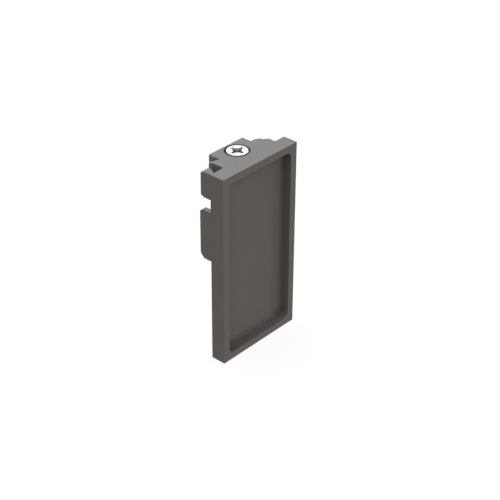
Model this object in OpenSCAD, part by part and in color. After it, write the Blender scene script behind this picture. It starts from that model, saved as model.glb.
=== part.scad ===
// End cap for a rectangular extruded profile, with its own clamping screw.
// The frame: X across the cap, Y along the profile (the plate's back face is
// Y = 0 and the front looks towards -Y), Z up. Sizes in millimetres.

/* [Plate] */
// Width of the plate, across the profile
plate_w = 26; // [25.5:0.5:30]
// Height of the plate
plate_h = 52; // [48:0.5:60]
// Thickness of the plate from its front rim to its back face
plate_t = 4.1; // [3.8:0.1:5]

/* [Front recess] */
// Width of the flat rim round the recess
rim_w = 1.95; // [1.6:0.05:2.5]
// Depth of the recess below the rim
recess_d = 3.5; // [2.6:0.1:3.6]
// Radius of the recess corners and of the fillet where its walls meet the floor
recess_r = 1.5; // [0.8:0.1:1.6]

/* [Side lips] */
// How far the lips reach behind the plate
lip_reach = 3.45; // [3:0.05:4]
// Height of the upper lip, down from the top edge
upper_lip_h = 6.8; // [6:0.1:7.5]
// Thickness of the upper lip where it leaves the plate
upper_lip_root = 1.2; // [1:0.1:1.6]
// Thickness of the upper lip at its free end
upper_lip_tip = 2.9; // [2.4:0.1:3]
// Radius of the upper lip's outer back edge
upper_lip_r = 0.6; // [0.3:0.1:0.8]
// Length of the upper lip's lead-in taper, along the profile
lip_lead = 1.5; // [1:0.1:1.8]
// Top of the lower lip, below the top edge of the plate
lower_lip_top = 10.2; // [9:0.1:12]
// Height of the lower lip
lower_lip_h = 13.5; // [10:0.5:20]
// Thickness of the lower lip
lower_lip_t = 1.3; // [1:0.05:1.6]

/* [Guide body] */
// Height of the guide body, down from the top edge
body_h = 6.8; // [6:0.1:7.5]
// Half width of the wide block
block_half_w = 8.52; // [8.3:0.01:8.6]
// How far the wide block reaches behind the plate
block_reach = 5.55; // [5.2:0.05:5.8]
// Left side of the screw block
boss_left = 6; // [5.8:0.05:6.1]
// Right side of the screw block
boss_right = 5.8; // [5.4:0.05:6.1]
// How far the screw block reaches behind the plate
boss_reach = 7.05; // [6.9:0.05:7.6]
// Right end of the low step beside the wide block
step_right = 9.72; // [9.5:0.01:10]
// How far the step reaches behind the plate
step_reach = 4.1; // [3.8:0.1:4.6]
// Length of the lead-in taper on the wide block and the step
body_lead = 2.1; // [1.6:0.1:2.4]
// Slope of every lead-in taper, drop over length
lead_slope = 0.44; // [0.3:0.01:0.5]
// Radius of the wide block's left back corner, seen from above
corner_r = 1.47; // [1.2:0.01:1.47]
// Left side of the narrow slot between that corner and the screw block
slot_left = 7.05; // [7:0.05:7.2]

/* [Screw] */
// Distance of the screw axis behind the plate's back face
screw_y = 3.44; // [3.4:0.01:3.6]
// Outside diameter of the thread, drawn as a plain cylinder
thread_d = 3; // [2.9:0.1:3]
// Diameter of the plain shank between the head and the thread
shank_d = 2.5; // [2.2:0.1:2.6]
// Length of the screw, head included
screw_len = 10; // [9:1:12]
// Diameter of the flat screw head
head_d = 5.4; // [5.2:0.1:5.6]
// Height of the head's straight edge below the cap's top face
head_edge = 0.4; // [0.3:0.05:0.5]
// Diameter of the straight-walled mouth of the countersunk hole
sink_d = 6.4; // [6.2:0.1:6.6]
// Depth of that straight wall
sink_wall = 0.8; // [0.6:0.1:1]
// Diameter of the clearance hole below the countersink
hole_d = 3.4; // [3.2:0.1:3.6]
// How far the flat of the head stands above the top face
head_rise = 0.05; // [0:0.01:0.15]

/* [Hidden] */
$fn = 64;

half_w = plate_w / 2;
top = plate_h / 2;
floor_y = recess_d - plate_t;          // the recess floor, just in front of Y = 0
root = min(0.3, -floor_y / 2);         // how deep rear features are rooted in the plate
head_top = top + head_rise;
cone_top = top - head_edge;            // where the head's straight edge meets its cone
seat_z = top - sink_wall;              // ledge at the bottom of the mouth's straight wall
seat_r = head_d / 2 - (cone_top - seat_z); // radius of the 90 degree seat at that ledge
cone_h = seat_r - hole_d / 2;
neck_z = cone_top - (head_d - shank_d) / 2;
tip_z = head_top - screw_len;
tip_c = 0.4;                           // chamfer at the screw's tip
thread_top = top - body_h - 0.2;       // the thread ends just below the guide body
drive_r = 1.8;                         // reach of the driver slots at the head's flat
drive_w = 0.8;                         // width of a driver slot
drive_d = 1.25;                        // depth of the driver slots
pit_r = 1.02;                          // radius of the pit in the middle, at the flat

// ---------------------------------------------------------------- helpers

// A plan outline (X, Y) raised between two heights
module plan(z0, z1) {
    translate([0, 0, z0]) linear_extrude(height = z1 - z0) children();
}

// A side outline (Y, Z) drawn as (X, Y) and run across X from x0 to x1
module across(x0, x1) {
    translate([x0, 0, 0]) rotate([90, 0, 90]) linear_extrude(height = x1 - x0) children();
}

// A side outline with a lead-in taper along its top back edge
module tapered_side(reach, lead, z0, z1) {
    polygon([[-root, z1], [reach - lead, z1], [reach, z1 - lead * lead_slope],
             [reach, z0], [-root, z0]]);
}

// A box with rounded corners in X-Z and a fillet of the same radius round its
// back face: the space of the front recess, open towards -Y
module recess_space() {
    x = half_w - rim_w - recess_r;
    z = top - rim_w - recess_r;
    y = floor_y - recess_r;
    // straight walls, from in front of the rim to where the fillet starts
    translate([-x - recess_r, -plate_t - 1, -z]) cube([2 * (x + recess_r), y + plate_t + 1, 2 * z]);
    translate([-x, -plate_t - 1, -z - recess_r]) cube([2 * x, y + plate_t + 1, 2 * (z + recess_r)]);
    for (sx = [-1, 1], sz = [-1, 1])
        translate([sx * x, -plate_t - 1, sz * z]) rotate([-90, 0, 0])
            cylinder(r = recess_r, h = y + plate_t + 1);
    // flat floor
    translate([-x, y - 0.2, -z]) cube([2 * x, recess_r + 0.2, 2 * z]);
    // fillets along the four sides and in the four corners
    for (sx = [-1, 1]) translate([sx * x, y, -z]) cylinder(r = recess_r, h = 2 * z);
    for (sz = [-1, 1]) translate([-x, y, sz * z]) rotate([0, 90, 0]) cylinder(r = recess_r, h = 2 * x);
    for (sx = [-1, 1], sz = [-1, 1]) translate([sx * x, y, sz * z]) sphere(r = recess_r);
}

module plate() {
    difference() {
        translate([-half_w, -plate_t, -top]) cube([plate_w, plate_t, plate_h]);
        recess_space();
    }
}

// The upper lip: flush with the plate's left side, thicker towards its free
// end, with a lead-in taper above and below
module upper_lip() {
    z0 = top - upper_lip_h;
    intersection() {
        plan(z0, top) union() {
            polygon([[-half_w, -root], [-half_w, lip_reach - upper_lip_r],
                     [-half_w + upper_lip_r, lip_reach],
                     [-half_w + upper_lip_tip, lip_reach],
                     [-half_w + upper_lip_root, 0], [-half_w + upper_lip_root, -root]]);
            translate([-half_w + upper_lip_r, lip_reach - upper_lip_r]) circle(r = upper_lip_r);
        }
        across(-half_w, -half_w + upper_lip_tip)
            polygon([[-root, top], [lip_reach - lip_lead, top],
                     [lip_reach, top - lip_lead * lead_slope],
                     [lip_reach, z0 + (lip_lead - 0.2) * lead_slope],
                     [lip_reach - lip_lead + 0.2, z0], [-root, z0]]);
    }
}

// The lower lip: straight, with its two back corners cut off
module lower_lip() {
    z1 = top - lower_lip_top;
    z0 = z1 - lower_lip_h;
    across(-half_w, -half_w + lower_lip_t)
        polygon([[-root, z1], [lip_reach - 0.75, z1], [lip_reach, z1 - 0.68],
                 [lip_reach, z0 + 1.35], [lip_reach - 0.35, z0 + 0.75],
                 [lip_reach - 1.1, z0 + 0.05], [lip_reach - 1.5, z0], [-root, z0]]);
}

// The guide body that fills the mouth of the profile, flush with the plate's
// top edge: a wide block, a screw block behind it and a low step at the right
module guide_body() {
    z0 = top - body_h;
    difference() {
        union() {
            // wide block, its left back corner rounded and a slot behind it
            intersection() {
                plan(z0, top) difference() {
                    union() {
                        translate([-block_half_w, -root])
                            square([2 * block_half_w, block_reach - corner_r + root]);
                        translate([-block_half_w + corner_r, -root])
                            square([2 * block_half_w - corner_r, block_reach + root]);
                        translate([-block_half_w + corner_r, block_reach - corner_r])
                            circle(r = corner_r);
                    }
                    polygon([[-slot_left, block_reach + 1], [-slot_left, block_reach - 0.75],
                             [-boss_left + 0.2, block_reach - 1.85],
                             [-boss_left + 0.2, block_reach + 1]]);
                }
                across(-block_half_w, block_half_w)
                    tapered_side(block_reach, body_lead, z0, top);
            }
            // step
            across(block_half_w - 1, step_right) tapered_side(step_reach, body_lead, z0, top);
            // screw block, its left top edge broken
            translate([0, boss_reach, 0]) rotate([90, 0, 0])
                linear_extrude(height = boss_reach)
                    polygon([[-boss_left, z0], [boss_right, z0], [boss_right, top],
                             [-boss_left + 0.22, top], [-boss_left, top - 0.22]]);
        }
        // countersunk hole for the clamping screw
        translate([0, screw_y, z0 - 1]) cylinder(d = hole_d, h = body_h + 2);
        translate([0, screw_y, seat_z - cone_h]) cylinder(d1 = hole_d, d2 = 2 * seat_r, h = cone_h);
        translate([0, screw_y, seat_z]) cylinder(d = sink_d, h = sink_wall + 1);
    }
}

// ---------------------------------------------------------------- sub-parts

// The moulded cap: plate, lips and guide body in one piece
module cap_body() {
    color([0.36, 0.34, 0.33]) union() {
        plate();
        upper_lip();
        lower_lip();
        guide_body();
    }
}

// Countersunk screw with a cross drive; its thread is a plain cylinder
module clamp_screw() {
    color([0.85, 0.86, 0.87]) translate([0, screw_y, 0]) difference() {
        union() {
            // flat head, its rim broken, on a 90 degree cone
            translate([0, 0, head_top - 0.1]) cylinder(d1 = head_d, d2 = head_d - 0.2, h = 0.1);
            translate([0, 0, cone_top]) cylinder(d = head_d, h = head_top - 0.1 - cone_top);
            translate([0, 0, neck_z])
                cylinder(d1 = shank_d, d2 = head_d, h = cone_top - neck_z);
            // plain shank, thread and chamfered tip
            translate([0, 0, thread_top]) cylinder(d = shank_d, h = neck_z - thread_top);
            translate([0, 0, tip_z + tip_c])
                cylinder(d = thread_d, h = thread_top - tip_z - tip_c);
            translate([0, 0, tip_z])
                cylinder(d1 = thread_d - 2 * tip_c, d2 = thread_d, h = tip_c);
        }
        // four driver slots, narrowing towards their floor
        intersection() {
            for (a = [0, 90]) rotate([0, 0, a])
                translate([-3, -drive_w / 2, head_top - drive_d]) cube([6, drive_w, drive_d + 0.2]);
            translate([0, 0, head_top - drive_d])
                cylinder(r1 = drive_r - 0.9, r2 = drive_r + 0.9 * 0.2 / drive_d, h = drive_d + 0.2);
        }
        // tapered pit in the middle
        translate([0, 0, head_top - drive_d - 0.2])
            cylinder(r1 = 0.3, r2 = pit_r + (pit_r - 0.3) * 0.2 / (drive_d + 0.2), h = drive_d + 0.4);
    }
}

cap_body();
clamp_screw();
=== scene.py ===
import math

import bmesh
import bpy
from mathutils import Matrix, Vector


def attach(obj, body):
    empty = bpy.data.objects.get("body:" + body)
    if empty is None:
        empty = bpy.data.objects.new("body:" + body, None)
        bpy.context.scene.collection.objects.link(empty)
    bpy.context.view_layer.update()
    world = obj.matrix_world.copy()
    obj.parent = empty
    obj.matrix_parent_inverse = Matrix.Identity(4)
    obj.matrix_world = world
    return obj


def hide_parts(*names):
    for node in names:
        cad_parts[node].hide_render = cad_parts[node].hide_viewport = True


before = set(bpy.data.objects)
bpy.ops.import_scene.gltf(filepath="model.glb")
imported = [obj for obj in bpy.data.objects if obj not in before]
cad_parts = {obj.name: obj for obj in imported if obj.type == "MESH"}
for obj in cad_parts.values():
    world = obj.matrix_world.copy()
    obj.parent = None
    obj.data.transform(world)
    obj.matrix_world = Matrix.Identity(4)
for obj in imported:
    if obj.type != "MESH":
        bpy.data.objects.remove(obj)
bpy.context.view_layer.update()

MM = 0.001
SCREW_Y = 3.44  # mm, axis of the clamping screw behind the plate's back face
scene = bpy.context.scene


# ---------------------------------------------------------------- node helpers
class Tree:
    """Short calls for building a node tree."""

    def __init__(self, tree):
        self.t = tree
        self.t.nodes.clear()

    def add(self, kind, **props):
        n = self.t.nodes.new(kind)
        for k, v in props.items():
            setattr(n, k, v)
        return n

    def link(self, a, b):
        self.t.links.new(a, b)

    def put(self, socket, value):
        if isinstance(value, bpy.types.NodeSocket):
            self.link(value, socket)
        else:
            socket.default_value = value

    def math(self, op, a, b=None, c=None, clamp=False):
        n = self.add("ShaderNodeMath", operation=op, use_clamp=clamp)
        for s, v in zip(n.inputs, (a, b, c)):
            if v is not None:
                self.put(s, v)
        return n.outputs[0]

    def vec(self, op, a, b=None, scale=None):
        n = self.add("ShaderNodeVectorMath", operation=op)
        self.put(n.inputs[0], a)
        if b is not None:
            self.put(n.inputs[1], b)
        if scale is not None:
            n.inputs["Scale"].default_value = scale
        return n.outputs["Value"] if op in ("DOT_PRODUCT", "LENGTH") else n.outputs[0]

    def noise(self, where, scale, detail=2.0, rough=0.5):
        n = self.add("ShaderNodeTexNoise")
        self.put(n.inputs["Vector"], where)
        n.inputs["Scale"].default_value = scale
        n.inputs["Detail"].default_value = detail
        n.inputs["Roughness"].default_value = rough
        return n.outputs["Fac"]

    def span(self, value, a, b, c, d, smooth=False):
        """value from a..b mapped to c..d, clamped."""
        n = self.add("ShaderNodeMapRange", interpolation_type="SMOOTHSTEP" if smooth else "LINEAR")
        self.put(n.inputs["Value"], value)
        for name, v in (("From Min", a), ("From Max", b), ("To Min", c), ("To Max", d)):
            n.inputs[name].default_value = v
        return n.outputs["Result"]

    def mix(self, fac, a, b):
        n = self.add("ShaderNodeMix", data_type="RGBA")
        self.put(n.inputs[0], fac)
        self.put(n.inputs[6], a)
        self.put(n.inputs[7], b)
        return n.outputs[2]

    def grey(self, colour, factor):
        """A colour times a factor that varies over the surface."""
        n = self.add("ShaderNodeVectorMath", operation="SCALE")
        n.inputs[0].default_value = colour[:3]
        self.put(n.inputs["Scale"], factor)
        return n.outputs[0]

    def bump(self, height, strength, distance, normal=None):
        n = self.add("ShaderNodeBump")
        self.put(n.inputs["Height"], height)
        n.inputs["Strength"].default_value = strength
        n.inputs["Distance"].default_value = distance
        if normal is not None:
            self.link(normal, n.inputs["Normal"])
        return n.outputs["Normal"]


def material(name):
    m = bpy.data.materials.new(name)
    m.use_nodes = True
    return m, Tree(m.node_tree)


def in_mm(t):
    """The piece's own coordinates, in millimetres."""
    c = t.add("ShaderNodeTexCoord")
    return t.vec("SCALE", c.outputs["Object"], scale=1000.0)


# ---------------------------------------------------------------- materials
def cap_material():
    """Dark warm-grey moulded plastic with a very fine matt grain."""
    m, t = material("moulded_grey")
    p = in_mm(t)
    out = t.add("ShaderNodeOutputMaterial")
    s = t.add("ShaderNodeBsdfPrincipled")
    t.link(s.outputs[0], out.inputs[0])
    grain = t.noise(p, 9.0, 3.0, 0.6)       # about 0.1 mm
    mottle = t.noise(p, 1.1, 2.0, 0.5)      # about 1 mm
    cloud = t.noise(p, 0.12, 2.0, 0.5)      # about 8 mm
    shade = t.math("ADD", t.span(grain, 0.3, 0.7, -0.05, 0.05), t.span(mottle, 0.3, 0.7, -0.025, 0.025))
    shade = t.math("ADD", shade, t.span(cloud, 0.3, 0.7, 0.98, 1.02))
    # edges rub a little lighter than the faces
    soft = t.add("ShaderNodeBevel", samples=6)
    soft.inputs["Radius"].default_value = 0.25 * MM
    geo = t.add("ShaderNodeNewGeometry")
    edge = t.vec("DOT_PRODUCT", soft.outputs[0], geo.outputs["Normal"])
    edge = t.math("MULTIPLY", t.span(edge, 0.99, 0.86, 0.0, 1.0), t.span(mottle, 0.35, 0.65, 0.5, 1.0))
    shade = t.math("MULTIPLY", shade, t.math("ADD", 1.0, t.math("MULTIPLY", edge, 0.12)))
    t.link(t.grey(CAP_COLOUR, shade), s.inputs["Base Color"])
    t.link(t.math("ADD", t.span(grain, 0.3, 0.7, CAP_ROUGH - 0.04, CAP_ROUGH + 0.04),
                  t.span(mottle, 0.3, 0.7, -0.03, 0.03)), s.inputs["Roughness"])
    s.inputs["Specular IOR Level"].default_value = 0.25
    t.link(t.bump(grain, 0.5, 0.030 * MM), s.inputs["Normal"])
    return m


def screw_material(name, colour, rough, deep=1.0):
    """Zinc-plated steel with faint turning marks; deep is how dark the painted shade gets at the bottom of a recess.
    """
    m, t = material(name)
    p = in_mm(t)
    out = t.add("ShaderNodeOutputMaterial")
    s = t.add("ShaderNodeBsdfPrincipled")
    t.link(s.outputs[0], out.inputs[0])
    at = t.add("ShaderNodeSeparateXYZ")
    t.link(p, at.inputs[0])
    dy = t.math("SUBTRACT", at.outputs[1], SCREW_Y)
    r = t.math("SQRT", t.math("ADD", t.math("MULTIPLY", at.outputs[0], at.outputs[0]), t.math("MULTIPLY", dy, dy)))
    ring = t.add("ShaderNodeTexNoise", noise_dimensions="1D")
    t.link(r, ring.inputs["W"])
    ring.inputs["Scale"].default_value = 14.0
    ring.inputs["Detail"].default_value = 3.0
    blotch = t.noise(p, 1.6, 3.0, 0.55)
    fine = t.noise(p, 14.0, 2.0, 0.5)
    shade = t.math("ADD", t.span(blotch, 0.3, 0.7, 0.97, 1.02), t.span(ring.outputs["Fac"], 0.3, 0.7, -0.015, 0.015))
    # painted shade: the colour darkens towards the bottom of the driver recess
    if deep < 1.0:
        shade = t.math("MULTIPLY", shade, t.span(at.outputs[2], 25.15, 26.0, deep, 1.0, smooth=True))
    t.link(t.grey(colour, shade), s.inputs["Base Color"])
    s.inputs["Metallic"].default_value = 1.0
    t.link(t.math("ADD", t.span(blotch, 0.3, 0.7, rough - 0.05, rough + 0.05), t.span(fine, 0.3, 0.7, -0.03, 0.03)), s.inputs["Roughness"])
    n = t.bump(ring.outputs["Fac"], 0.12, 0.004 * MM)
    t.link(t.bump(fine, 0.10, 0.004 * MM, n), s.inputs["Normal"])
    return m


CAP_COLOUR = (0.0765, 0.068, 0.0637)
CAP_ROUGH = 0.70
CAP = cap_material()
STEEL = screw_material("zinc_plated_steel", (0.88, 0.88, 0.885), 0.27)
RECESS_SHADED_STEEL = screw_material("zinc_plated_recess_painted_shade", (0.86, 0.79, 0.74), 0.42, deep=0.54)  # the driver recess: a duller, darker copy of the steel with painted shade deepening towards its bottom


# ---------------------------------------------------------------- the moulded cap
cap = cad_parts["cap_body"]
for s in cap.material_slots:
    s.material = CAP
# every corner of a moulding has a small radius
weld = cap.modifiers.new("weld", "WELD")
weld.merge_threshold = 0.001 * MM
flat = cap.modifiers.new("flat", "DECIMATE")
flat.decimate_type = "DISSOLVE"
flat.angle_limit = math.radians(0.6)
bev = cap.modifiers.new("corner_radius", "BEVEL")
bev.limit_method = "ANGLE"
bev.angle_limit = math.radians(20)
bev.width = 0.06 * MM
bev.segments = 3
bev.use_clamp_overlap = True
bev.miter_outer = "MITER_SHARP"
wn = cap.modifiers.new("normals", "WEIGHTED_NORMAL")
wn.keep_sharp = False
wn.weight = 60


# ---------------------------------------------------------------- the screw
def screw_mesh():
    """A countersunk screw with a real thread, one closed surface, in millimetres on the screw's axis."""
    N = 64
    pitch, major, minor, shank = 0.5, 1.5, 1.2, 1.25
    top, tip, thread_top = 26.05, 16.05, 19.0
    bm = bmesh.new()
    turn = [(math.cos(2 * math.pi * i / N), math.sin(2 * math.pi * i / N)) for i in range(N)]

    def ring(r, z):
        return [bm.verts.new((r * c, r * s, z)) for c, s in turn]

    def band(a, b):
        for i in range(N):
            j = (i + 1) % N
            bm.faces.new((a[i], a[j], b[j], b[i]))

    def cap_end(a, z, up):
        v = bm.verts.new((0, 0, z))
        for i in range(N):
            j = (i + 1) % N
            bm.faces.new((a[i], a[j], v) if up else (a[j], a[i], v))

    def tooth(phase):
        """0 at the root and 1 at the crest over one pitch."""
        x = abs((phase % 1.0) - 0.5) * 2  # 1 at the root, 0 at the crest
        return min(1.0, max(0.0, (0.86 - x) / (0.86 - 0.12)))

    dz = pitch / N
    rows = int(round((thread_top - tip) / dz))
    grid = []
    for j in range(rows + 1):
        z = tip + j * dz
        row = []
        for i in range(N):
            # the thread runs out over its last turn and is cut by the tip's chamfer
            run = min(1.0, max(0.0, (thread_top - 0.06 - z) / 0.42))
            r = minor + (major - minor) * tooth((j - i) / N) * run
            if run < 1:
                r = max(r, shank + (minor - shank) * run)
            r = min(r, 1.06 + (z - tip) * 1.0)
            row.append(bm.verts.new((r * turn[i][0], r * turn[i][1], z)))
        grid.append(row)
    # faces follow the helix, so the crest is a clean line
    for j in range(rows):
        for i in range(N):
            k = (i + 1) % N
            if j + 2 <= rows:
                bm.faces.new((grid[j][i], grid[j + 1][k], grid[j + 2][k], grid[j + 1][i]))
            else:
                bm.faces.new((grid[j][i], grid[j + 1][k], grid[j + 1][i]))
            if j == 0:
                bm.faces.new((grid[0][i], grid[0][k], grid[1][k]))
    cap_end(grid[0], tip, False)
    # the shank, a small fillet, the cone and the head with its rim broken
    profile = [(shank, 24.05), (shank + 0.012, 24.13), (shank + 0.045, 24.21), (shank + 0.11, 24.29),
               (2.65, 25.56), (2.685, 25.58), (2.70, 25.61), (2.70, 25.94), (2.694, 25.97), (2.678, 25.998),
               (2.65, 26.024), (2.61, 26.041), (2.56, 26.049), (2.50, top)]
    last = grid[rows]
    for r, z in profile:
        new = ring(r, z)
        band(last, new)
        last = new
    cap_end(last, top, True)
    bm.normal_update()
    return bm


def cross_cutter():
    """The space of the cross recess: four tapered wings round a tapered pit."""
    bm = bmesh.new()

    def loft(lower, upper):
        n = len(lower)
        for i in range(n):
            j = (i + 1) % n
            bm.faces.new((lower[i], lower[j], upper[j], upper[i]))
        bm.faces.new(list(reversed(lower)))
        bm.faces.new(upper)

    def wing(angle):
        c, s = math.cos(angle), math.sin(angle)

        def section(half_len, half_w, z):
            pts = []
            rc = half_w * 0.35  # the ends' corners are rounded
            for side in (1, -1):
                for k in range(10):
                    a = math.radians((-90, -67, -45, -22, 0, 0, 22, 45, 67, 90)[k])
                    x = half_len - rc + rc * math.cos(a)
                    y = (half_w - rc) * (-1 if k < 5 else 1) + rc * math.sin(a)
                    pts.append((side * x, side * y))
            return [bm.verts.new((x * c - y * s, x * s + y * c, z)) for x, y in pts]

        top, deep = 26.05, 24.75
        loft(section(0.84, 0.28, deep), section(1.97 + 0.174, 0.41 + 0.020, top + 0.2))

    wing(0.0)
    wing(math.pi / 2)
    return bm


def pit_cutter():
    bm = bmesh.new()
    n = 48
    rows = []
    for r, z in ((0.30, 24.60), (0.42, 24.66), (1.17, 26.05), (1.17 + 0.75 * 0.2 / 1.39, 26.25)):
        rows.append([bm.verts.new((r * math.cos(2 * math.pi * i / n), r * math.sin(2 * math.pi * i / n), z)) for i in range(n)])
    for a, b in zip(rows, rows[1:]):
        for i in range(n):
            j = (i + 1) % n
            bm.faces.new((a[i], a[j], b[j], b[i]))
    bm.faces.new(list(reversed(rows[0])))
    bm.faces.new(rows[-1])
    return bm


def to_object(name, bm, scale=MM, shift=(0, SCREW_Y, 0)):
    for v in bm.verts:
        v.co = (v.co + Vector(shift)) * scale
    me = bpy.data.meshes.new(name)
    bm.to_mesh(me)
    bm.free()
    o = bpy.data.objects.new(name, me)
    scene.collection.objects.link(o)
    return o


def baked(o):
    """The object with its modifiers applied."""
    bpy.context.view_layer.update()
    dg = bpy.context.evaluated_depsgraph_get()
    me = bpy.data.meshes.new_from_object(o.evaluated_get(dg))
    o.modifiers.clear()
    o.data = me


screw = to_object("clamp_screw_detail", screw_mesh())
for cutter in (to_object("cut_a", cross_cutter()), to_object("cut_b", pit_cutter())):
    if cutter.name == "cut_a":  # the two wings as one body
        bm = bmesh.new()
        bm.from_mesh(cutter.data)
        bmesh.ops.recalc_face_normals(bm, faces=bm.faces)
        bm.to_mesh(cutter.data)
        bm.free()
    b = screw.modifiers.new("cut", "BOOLEAN")
    b.operation = "DIFFERENCE"
    b.solver = "EXACT"
    b.use_self = cutter.name == "cut_a"
    b.object = cutter
    baked(screw)
    bpy.data.objects.remove(cutter)

bm = bmesh.new()
bm.from_mesh(screw.data)
bmesh.ops.remove_doubles(bm, verts=bm.verts, dist=0.0005 * MM)
bmesh.ops.dissolve_degenerate(bm, edges=bm.edges, dist=0.0005 * MM)
rim = [e for e in bm.edges if len(e.link_faces) == 2 and e.calc_face_angle(0) > math.radians(30)
       and all(abs(v.co.z - 26.05 * MM) < 0.002 * MM for v in e.verts)
       and all((v.co - Vector((0, SCREW_Y * MM, v.co.z))).length < 2.2 * MM for v in e.verts)]
bmesh.ops.bevel(bm, geom=rim, offset=0.03 * MM, segments=2, profile=0.5, affect="EDGES", clamp_overlap=True)
bm.to_mesh(screw.data)
bm.free()
screw.data.shade_smooth()
screw.data.set_sharp_from_angle(angle=math.radians(32))
screw.data.materials.clear()
screw.data.materials.append(STEEL)
screw.data.materials.append(RECESS_SHADED_STEEL)
# the recess faces take the darker copy of the steel, which is painted shade
for f in screw.data.polygons:
    f.material_index = 1 if f.center.z < 26.035 * MM and f.center.z > 24.5 * MM and math.hypot(
        f.center.x, f.center.y - SCREW_Y * MM) < 2.0 * MM and f.normal.z > -0.2 else 0
w = screw.modifiers.new("normals", "WEIGHTED_NORMAL")
w.keep_sharp = True
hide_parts("clamp_screw")
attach(screw, "root")


# ---------------------------------------------------------------- floor, light and camera
ROOM = 0.3    # even light from all round
LIGHTS = (    # height and heading in degrees, strength
    (36, 150, 1.779), (-12, 0, 0.622), (36, 270, 0.402), (88, 0, 0.366),
    (36, 30, 0.301), (-12, 270, 0.215), (36, 300, 0.207), (36, 240, 0.174),
    (-40, 90, 0.167), (62, 0, 0.038),
)


def floor_material():
    m, t = material("pale_floor")
    p = in_mm(t)
    out = t.add("ShaderNodeOutputMaterial")
    s = t.add("ShaderNodeBsdfPrincipled")
    t.link(s.outputs[0], out.inputs[0])
    t.link(t.grey((0.76, 0.76, 0.76), t.span(t.noise(p, 0.02, 2.0), 0.3, 0.7, 0.985, 1.0)), s.inputs["Base Color"])
    s.inputs["Roughness"].default_value = 0.9
    s.inputs["Specular IOR Level"].default_value = 0.2
    s.inputs["Emission Color"].default_value = (1, 1, 1, 1)
    s.inputs["Emission Strength"].default_value = 1.03 - 0.76 * ROOM
    return m


bm = bmesh.new()
half, cells = 1.6, 16
for i in range(cells):
    for j in range(cells):
        x0, y0 = -half + 2 * half * i / cells, -half + 2 * half * j / cells
        d = 2 * half / cells
        bm.faces.new([bm.verts.new((x, y, -26.02 * MM)) for x, y in ((x0, y0), (x0 + d, y0), (x0 + d, y0 + d), (x0, y0 + d))])
bmesh.ops.remove_doubles(bm, verts=bm.verts, dist=1e-6)
me = bpy.data.meshes.new("floor")
bm.to_mesh(me)
bm.free()
me.materials.append(floor_material())
floor = bpy.data.objects.new("floor", me)
scene.collection.objects.link(floor)
floor.visible_diffuse = False   # the room, not the sheet below, lights the part from underneath
floor.visible_glossy = False
floor.visible_shadow = False

world = bpy.data.worlds.new("studio")
scene.world = world
world.use_nodes = True
t = Tree(world.node_tree)
out = t.add("ShaderNodeOutputWorld")
bg = t.add("ShaderNodeBackground")
t.link(bg.outputs[0], out.inputs[0])
bg.inputs["Color"].default_value = (1.0, 1.0, 1.0, 1)
bg.inputs["Strength"].default_value = ROOM


def linked(name, objects, state):
    """A light-linking set that takes in, or leaves out, these objects."""
    group = bpy.data.collections.new(name)
    for o in objects:
        group.objects.link(o)
    for o in group.collection_objects:
        o.light_linking.link_state = state
    return group


CAP_ONLY = linked("all_but_screw_and_floor", (screw, floor), "EXCLUDE")
SCREW_ONLY = linked("screw_only", (screw,), "INCLUDE")


def direction(el, az):
    """az 0 is the front, 90 the right, 180 behind and 270 the left."""
    el, az = math.radians(el), math.radians(az)
    return Vector((math.sin(az) * math.cos(el), -math.cos(az) * math.cos(el), math.sin(el)))


def aim(o, d, distance):
    scene.collection.objects.link(o)
    o.location = d * distance
    o.rotation_mode = "QUATERNION"
    o.rotation_quaternion = d.to_track_quat("Z", "Y")


def soft_light(el, az, weight):
    """A very soft light from far away, 24 degrees across, for the cap alone."""
    data = bpy.data.lights.new("soft_%d_%d" % (el, az), "SUN")
    data.angle = math.radians(24)
    data.energy = 3.0 * weight
    data.color = (0.965, 1.0, 1.02) if el > 20 else (1.0, 1.0, 1.0)
    o = bpy.data.objects.new(data.name, data)
    aim(o, direction(el, az), 1.0)
    o.light_linking.receiver_collection = CAP_ONLY


def card(name, el, az, distance, size, radiance):
    """A white card that only the steel sees."""
    data = bpy.data.lights.new(name, "AREA")
    data.shape = "SQUARE"
    data.size = size
    data.energy = radiance * math.pi * size * size
    o = bpy.data.objects.new(name, data)
    aim(o, direction(el, az), distance)
    o.light_linking.receiver_collection = SCREW_ONLY


for el, az, weight in LIGHTS:
    soft_light(el, az, weight)
card("card_behind_right", 32, 132, 1.2, 1.1, 1.15)
card("card_left", 10, 280, 1.3, 0.7, 0.7)
card("card_below", -50, 60, 1.3, 0.8, 0.7)

# camera from the photo: its place, turn and lens
cam_data = bpy.data.cameras.new("camera")
cam = bpy.data.objects.new("camera", cam_data)
scene.collection.objects.link(cam)
az, el, roll = math.radians(-48.219), math.radians(32.020), math.radians(0.3188)
back = Vector((math.sin(az) * math.cos(el), -math.cos(az) * math.cos(el), math.sin(el)))
right = (-back).cross(Vector((0, 0, 1))).normalized()
upv = right.cross(-back)
right, upv = right * math.cos(roll) + upv * math.sin(roll), upv * math.cos(roll) - right * math.sin(roll)
m = Matrix((right, upv, back)).transposed().to_4x4()
m.translation = Vector((-213.24, -191.33, 178.75)) * MM
cam.matrix_world = m
cam_data.sensor_fit = "AUTO"
cam_data.sensor_width = 36.0
cam_data.lens = 98.81
cam_data.clip_start, cam_data.clip_end = 0.01, 20.0
scene.camera = cam

scene.view_settings.view_transform = "Standard"
scene.view_settings.look = "None"
scene.view_settings.exposure = 0.0
scene.view_settings.gamma = 1.0
scene.render.film_transparent = False

bpy.context.view_layer.update()
